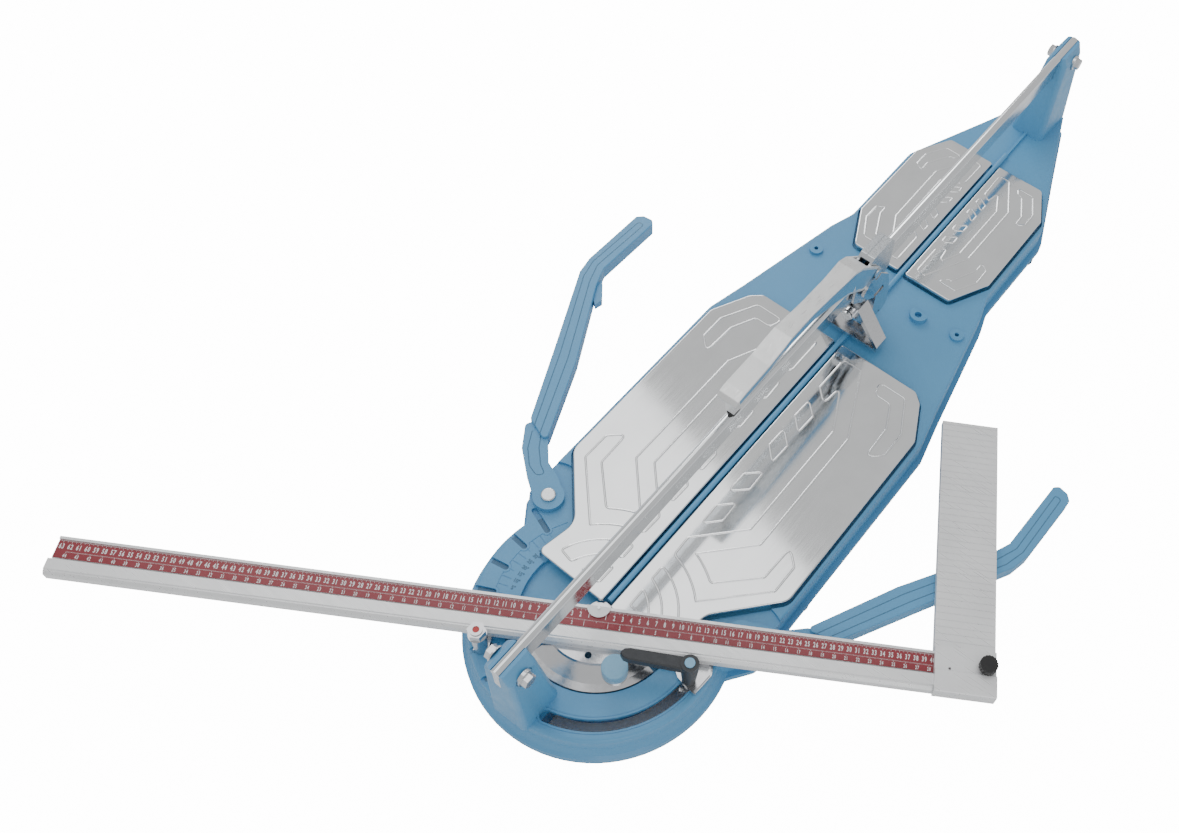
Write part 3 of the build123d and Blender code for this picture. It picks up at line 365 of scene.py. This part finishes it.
# ---------------------------------------------------------------- bed plates
def plate_paths(front, side):
    """Centre lines of the pressed pattern of one bed plate, in metres."""
    def on_plate(points):
        """Points given in centimetres for the right-hand plate, placed on this one."""
        return [(side * x * CM, y * CM, BED_Z) for x, y in points]

    def arc(radius, start, end, steps):
        return [polar(radius, start + (end - start) * i / steps) for i in range(steps + 1)]

    if front:
        band = ([(9.96, 18.88), (4.49, 13.06)] + arc(13.7, 71, 53, 4)
                + [(12.98, 15.62), (13.14, 20.86), (15.08, 19.0), (15.08, 14.92), (8.33, 7.99)]
                + arc(11.5, 44, 78, 6) + [(2.28, 14.11), (7.7, 19.81), (7.7, 38.15),
                                          (4.44, 44.67), (4.21, 40.94), (2.28, 42.81),
                                          (2.28, 48.67), (5.18, 48.67), (9.91, 38.39)])
        bracket = [(8.21, 48.67), (12.4, 48.67), (15.07, 43.5), (15.07, 39.55), (13.21, 37.73),
                   (13.0, 43.04), (11.28, 46.65), (8.91, 46.65)]
        slants = [[(2.39, 40.13), (4.25, 38.38), (4.14, 35.13), (2.28, 36.99)],
                  [(2.39, 34.38), (4.25, 32.56), (4.14, 29.31), (2.28, 31.17)],
                  [(4.14, 27.5), (2.28, 25.7), (2.28, 22.48), (4.25, 24.35)],
                  [(4.14, 21.72), (2.28, 19.81), (2.39, 16.67), (4.25, 18.64)]]
        ring = arc(9.4, 76, 20, 8) + arc(7.4, 22, 72, 8)
        quarter = arc(5.8, 66, 28, 6) + [(2.4, 2.7)]
        shapes = [(band, 0.006), (bracket, 0.008), (ring, 0.004), (quarter, 0.004)]
        shapes += [(slant, 0.003) for slant in slants]
    else:
        near = [(5.2, 68.9), (5.9, 70.0), (6.6, 70.1), (8.5, 74.2), (8.5, 75.8), (9.7, 75.0),
                (9.7, 72.2), (7.9, 68.9)]
        far = [(5.2, 92.2), (5.9, 91.1), (6.6, 91.0), (8.5, 87.6), (8.5, 85.6), (9.7, 86.4),
               (9.7, 89.0), (7.9, 92.2)]
        middle = [(1.7, 68.4), (1.7, 73.7), (3.0, 74.9), (3.3, 71.8), (4.9, 75.3), (5.0, 86.0),
                  (3.3, 89.4), (2.9, 86.9), (1.8, 87.9), (1.7, 92.6), (3.4, 92.6), (6.5, 87.0),
                  (6.4, 75.3), (3.0, 68.4)]
        slants = [[(1.6, 75.5), (1.6, 76.7), (3.1, 77.9), (3.1, 76.4)],
                  [(1.6, 78.4), (1.6, 79.6), (3.1, 80.8), (3.1, 79.3)],
                  [(1.6, 82.9), (1.6, 84.1), (3.1, 83.1), (3.1, 81.7)],
                  [(1.6, 85.6), (1.6, 86.8), (3.1, 85.8), (3.1, 84.5)]]
        shapes = [(near, 0.006), (far, 0.006), (middle, 0.005)]
        shapes += [(slant, 0.003) for slant in slants]
    return [rounded_path(on_plate(points), radius, True) for points, radius in shapes]


class CUTTER_OT_plate_beads(bpy.types.Operator):
    """Raises the pressed pattern on the four bed plates"""
    bl_idname = "cutter.plate_beads"
    bl_label = "Bed plate pattern"

    def execute(self, context):
        sizes = context.scene.cutter_sizes
        for row in ("front", "rear"):
            for side, hand in ((-1, "left"), (1, "right")):
                paths = plate_paths(row == "front", side)
                bm = bead_mesh(paths, sizes.bead_width, sizes.bead_height)
                finish_piece(f"{row}_{hand}_plate_beads", bm, finish("bead"), f"{row}_{hand}_bed")
        return {"FINISHED"}


# ---------------------------------------------------------------- measuring scale
class CUTTER_OT_scale(bpy.types.Operator):
    """Prints the figures and strokes of the measuring scale"""
    bl_idname = "cutter.scale"
    bl_label = "Measuring scale"

    def execute(self, context):
        size = context.scene.cutter_sizes.figure_size
        depth, weight = 0.0002, 0.00022
        figure_row, figure_scale = -0.0122, 1.0
        diagonal_row, diagonal_scale = -0.0236, 0.72
        narrow = 0.6  # the figures are squeezed to this share of their width
        spacing = 0.385  # from figure to figure within a number, against its size
        # the side of the hub, and the last centimetre on each row there
        reaches = ((-1, 63, 44), (1, 46, 32))
        print_z = STRIP_TOP + depth / 2
        glyphs = {figure: text_mesh(figure, size, depth, weight) for figure in "0123456789"}
        turn = Matrix.Rotation(math.radians(GUIDE_DEG), 4, "Z")
        bm = bmesh.new()

        def put(words, u, v, scale):
            """One number, at a place along the bar and across it."""
            pitch = spacing * size * scale
            for i, figure in enumerate(words):
                start = len(bm.verts)
                bm.from_mesh(glyphs[figure])
                bm.verts.ensure_lookup_table()
                fresh = bm.verts[start:]
                place = (u + (i - (len(words) - 1) / 2) * pitch, v, print_z)
                bmesh.ops.transform(bm, verts=fresh, matrix=turn @ Matrix.Translation(place)
                                    @ Matrix.Diagonal((narrow * scale, scale, 1, 1)))

        for cm in range(1, 64):
            for side, last, last_diagonal in reaches:
                if cm <= last:
                    put(str(cm), side * cm * CM, figure_row, figure_scale)
                if cm <= last_diagonal:
                    put(str(cm), side * cm * CM * math.sqrt(2), diagonal_row, diagonal_scale)
        for mesh in glyphs.values():
            bpy.data.meshes.remove(mesh)

        def stroke(u, start, length, width):
            """One line across the bar, from a start that is nearer the tile."""
            made = bmesh.ops.create_cube(bm, size=1.0)["verts"]
            bmesh.ops.transform(bm, verts=made, matrix=turn
                                @ Matrix.Translation((u, start - length / 2, print_z))
                                @ Matrix.Diagonal((width, length, depth, 1)))

        for mark in range(-634, 475):
            length = 0.0036 if mark % 10 == 0 else 0.0028 if mark % 5 == 0 else 0.0016
            stroke(mark * MM, -0.0038, length, 0.00028)
        for mark in range(-440, 320):
            length = 0.0028 if mark % 10 == 0 else 0.0012
            stroke(mark * MM * math.sqrt(2), -0.0178, length, 0.0003)
        finish_piece("scale_figures", bm, finish("figures"), "guide", smooth=False)
        return {"FINISHED"}


class CUTTER_OT_notch_floors(bpy.types.Operator):
    """Lays painted shade, thin sheets of darker blue paint, on the floors of the detent notches"""
    bl_idname = "cutter.notch_floors"
    bl_label = "Notch floor shade"

    def execute(self, context):
        bm = bmesh.new()
        inner, outer, half = 0.1285, 0.1515, 0.0031
        bottom_z, thickness = 0.0457, 0.0006
        for step in range(-3, 4):
            turn = Matrix.Rotation(math.radians(SCALE_ZERO + NOTCH_STEP * step), 4, "Z")
            outline = [(outer, -half), (outer, half)]
            for bearing in range(0, 181, 20):
                a = math.radians(bearing)
                outline.append((inner + half * (1 - math.sin(a)), half * math.cos(a)))
            ring = [bm.verts.new(turn @ Vector((x, y, bottom_z))) for x, y in outline]
            made = bmesh.ops.extrude_face_region(bm, geom=[bm.faces.new(ring)])
            lifted = [v for v in made["geom"] if isinstance(v, bmesh.types.BMVert)]
            bmesh.ops.translate(bm, vec=(0, 0, thickness), verts=lifted)
        bmesh.ops.recalc_face_normals(bm, faces=bm.faces)
        # painted shade: the dark sheets stand for the shade inside the notches
        finish_piece("notch_floors", bm, finish("dark_paint_and_painted_shade"), "base", smooth=False)
        return {"FINISHED"}


class CUTTER_OT_angle_figures(bpy.types.Operator):
    """Lays the figures of the angle scale on the table"""
    bl_idname = "cutter.angle_figures"
    bl_label = "Angle figures"

    def execute(self, context):
        bm = bmesh.new()
        size, depth, weight = 0.007, 0.0004, 0.0003
        ring_radius, middle_z = 0.1105, 0.0501
        narrow = 0.86
        for step in (*range(-9, 0), *range(1, 10)):
            bearing = SCALE_ZERO + FIGURE_STEP * step
            mesh = text_mesh(f"{abs(step) * FIGURE_STEP}°", size, depth, weight)
            start = len(bm.verts)
            bm.from_mesh(mesh)
            bpy.data.meshes.remove(mesh)
            bm.verts.ensure_lookup_table()
            x, y = polar(ring_radius, bearing)
            bmesh.ops.transform(bm, verts=bm.verts[start:],
                                matrix=Matrix.Translation((x, y, middle_z))
                                @ Matrix.Rotation(math.radians(bearing + 180), 4, "Z")
                                @ Matrix.Diagonal((narrow, 1, 1, 1)))
        finish_piece("angle_figures", bm, finish("dark_paint_and_painted_shade"), "base", smooth=False)
        return {"FINISHED"}


# ---------------------------------------------------------------- pull lever
def lever_half_width(y):
    """Half width of the pull lever at a distance along it, in millimetres."""
    stations = ((230, 14.0), (330, 13.2), (395, 11.2), (450, 12.4), (490, 14.3), (560, 14.3))
    for (y0, w0), (y1, w1) in zip(stations, stations[1:]):
        if y <= y1:
            return w0 + (w1 - w0) * (y - y0) / (y1 - y0)
    return stations[-1][1]


class CUTTER_OT_lever_sides(bpy.types.Operator):
    """Sets the blue panels into the sides of the pull lever"""
    bl_idname = "cutter.lever_sides"
    bl_label = "Lever side panels"

    def execute(self, context):
        upper = [(242, 183), (300, 186), (330, 191.5), (345, 193.5), (395, 189.5), (420, 187),
                 (450, 184), (484, 183), (490, 181), (502, 175), (522, 157), (544, 137)]
        lower = [(550, 127), (538, 121), (514, 126), (500, 138), (490, 144), (476, 153.5),
                 (450, 162), (420, 171.5), (395, 178.5), (345, 184.5), (330, 182), (300, 178),
                 (264, 175.5), (243, 175.5)]
        sunk = 0.3  # millimetres from the lever's side in to where the panel starts
        thickness = 0.0005
        bm = bmesh.new()
        outline = [(y * MM, BED_Z + h * MM) for y, h in upper + lower]
        for side in (1, -1):
            offsets = [side * (lever_half_width(y) - sunk) * MM for y, h in upper + lower]
            side_panel(bm, outline, offsets, thickness)
        finish_piece("lever_side_panels", bm, finish("panel"), "lever", smooth=False)
        return {"FINISHED"}


# ---------------------------------------------------------------- support arms
class CUTTER_OT_arm_lines(bpy.types.Operator):
    """Draws fine dark blue lines along the top of the support arms, painted shade that stands for
    the grooves there
    """
    bl_idname = "cutter.arm_lines"
    bl_label = "Support arm lines"

    def execute(self, context):
        pivot = Vector((152, 80, 0))
        long_line = [(218, 137), (269, 251), (331, 367), (342, 397), (339, 496), (348, 496),
                     (351, 398), (344, 370), (282, 250), (232, 143)]
        neck_line = [(221, 144), (207, 124), (189, 107), (176, 100), (183, 92), (199, 97),
                     (218, 115), (231, 138)]
        neck_drop = 0.004  # the neck of an arm is lower than the bed
        corner, width, height = 0.012, 0.0013, 0.0002
        lines = (("arm", long_line, BED_Z), ("neck", neck_line, BED_Z - neck_drop))
        for side, turn, hand in ((1, -3.0, "right"), (-1, 0.0, "left")):
            for part, line, top in lines:
                turned = Matrix.Rotation(math.radians(turn), 3, "Z")
                places = [turned @ (Vector((x, y, 0)) - pivot) + pivot for x, y in line]
                places = [(side * p.x * MM, p.y * MM, top) for p in places]
                path = rounded_path(places, corner, False)
                bm = bead_mesh([path], width, height, closed=False)
                # painted shade: dark lines in place of the shaded grooves
                finish_piece(f"{hand}_{part}_line", bm, finish("dark_paint_and_painted_shade"), f"arm_{hand}")
        return {"FINISHED"}


# ---------------------------------------------------------------- stage
def area_light(name, place, target, size, power, colour=(1, 1, 1)):
    data = bpy.data.lights.new(name, "AREA")
    data.shape = "RECTANGLE"
    data.size, data.size_y = size
    data.energy = power
    data.color = colour
    light = bpy.data.objects.new(name, data)
    light.location = place
    light.rotation_euler = (Vector(target) - Vector(place)).to_track_quat("-Z", "Y").to_euler()
    bpy.context.scene.collection.objects.link(light)


def only_for_camera(tree, plain, seen):
    """A strength of plain for lighting, and of seen where the camera looks straight at it."""
    path = tree.nodes.new("ShaderNodeLightPath")
    strength = tree.nodes.new("ShaderNodeMapRange")
    strength.inputs["To Min"].default_value = plain
    strength.inputs["To Max"].default_value = seen
    tree.links.new(path.outputs["Is Camera Ray"], strength.inputs["Value"])
    return strength.outputs["Result"]


class CUTTER_OT_stage(bpy.types.Operator):
    """Puts a pale floor, soft lights and the camera round the cutter"""
    bl_idname = "cutter.stage"
    bl_label = "Stage"

    def execute(self, context):
        backdrop = 14.0  # strength of the floor and sky for the camera alone
        sky_light = 0.7
        painted_shade_from, painted_shade_to = 0.14, 0.15  # painted shade: no glow nearer the hub, so the floor seen through the angle slot looks dark
        bm = bmesh.new()
        bmesh.ops.create_grid(bm, x_segments=1, y_segments=1, size=9)
        mesh = bpy.data.meshes.new("floor")
        bm.to_mesh(mesh)
        bm.free()
        floor = new_object("floor", mesh)
        shade = Finish("Pale floor", (0.93, 0.935, 0.94), 0.0, 0.9)
        shade.tint(shade.spread(shade.noise(3, 2), 0, 0.2), (0.9, 0.905, 0.91))
        shade.shader.inputs["Emission Color"].default_value = (1, 1, 1, 1)
        glow = only_for_camera(shade.material.node_tree, 0.0, backdrop)
        # painted shade: the floor's glow for the camera fades out towards the hub, under the cutter
        reach = shade.nodes.new("ShaderNodeVectorMath")
        reach.operation = "LENGTH"
        shade.links.new(shade.place, reach.inputs[0])
        glow_beyond_painted_shade = shade.spread(reach.outputs["Value"], 0, 1, painted_shade_from, painted_shade_to)
        masked = shade.nodes.new("ShaderNodeMath")
        masked.operation = "MULTIPLY"
        shade.links.new(glow, masked.inputs[0])
        shade.links.new(glow_beyond_painted_shade, masked.inputs[1])
        shade.links.new(masked.outputs["Value"], shade.shader.inputs["Emission Strength"])
        mesh.materials.append(shade.material)

        world = bpy.data.worlds.new("studio")
        world.use_nodes = True
        background = world.node_tree.nodes["Background"]
        background.inputs["Color"].default_value = (1, 1, 1, 1)
        sky = only_for_camera(world.node_tree, sky_light, backdrop)
        world.node_tree.links.new(sky, background.inputs["Strength"])
        context.scene.world = world
        area_light("top", (-0.9, 0.5, 2.6), (0, 0.4, 0), (1.9, 1.9), 14)
        area_light("back", (-2.0, 2.2, 1.7), (0, 0.5, 0), (1.6, 1.2), 30)
        area_light("front", (1.8, -1.4, 1.6), (0, 0.3, 0), (1.4, 1.0), 12)

        data = bpy.data.cameras.new("camera")
        data.sensor_width = 36
        data.lens = 37.893
        data.shift_x = -0.16582
        data.shift_y = -0.01399
        data.clip_end = 50
        camera = bpy.data.objects.new("camera", data)
        camera.location = (0.41992, -0.41868, 1.45778)
        camera.rotation_euler = [math.radians(a) for a in (32.585, -5.185, 35.844)]
        context.scene.collection.objects.link(camera)
        context.scene.camera = camera
        return {"FINISHED"}


class CUTTER_PT_panel(bpy.types.Panel):
    """Lists the steps that dress the tile cutter"""
    bl_idname = "CUTTER_PT_panel"
    bl_label = "Tile cutter"
    bl_space_type = "VIEW_3D"
    bl_region_type = "UI"
    bl_category = "Tile cutter"

    def draw(self, context):
        layout = self.layout
        for group in (context.scene.cutter_colours, context.scene.cutter_sizes):
            for key in group.__annotations__:
                layout.prop(group, key)
        for step in STEPS:
            layout.operator(step.bl_idname)


STEPS = (CUTTER_OT_finishes, CUTTER_OT_plate_beads, CUTTER_OT_scale, CUTTER_OT_notch_floors,
         CUTTER_OT_angle_figures, CUTTER_OT_lever_sides, CUTTER_OT_arm_lines, CUTTER_OT_stage)
CLASSES = (CutterColours, CutterSizes) + STEPS + (CUTTER_PT_panel,)


def register():
    for cls in CLASSES:
        bpy.utils.register_class(cls)
    bpy.types.Scene.cutter_colours = bpy.props.PointerProperty(type=CutterColours)
    bpy.types.Scene.cutter_sizes = bpy.props.PointerProperty(type=CutterSizes)


def unregister():
    del bpy.types.Scene.cutter_sizes
    del bpy.types.Scene.cutter_colours
    for cls in reversed(CLASSES):
        bpy.utils.unregister_class(cls)


def main():
    register()
    bpy.ops.cutter.finishes()
    bpy.ops.cutter.plate_beads()
    bpy.ops.cutter.scale()
    bpy.ops.cutter.notch_floors()
    bpy.ops.cutter.angle_figures()
    bpy.ops.cutter.lever_sides()
    bpy.ops.cutter.arm_lines()
    bpy.ops.cutter.stage()


if __name__ == "__main__":
    main()
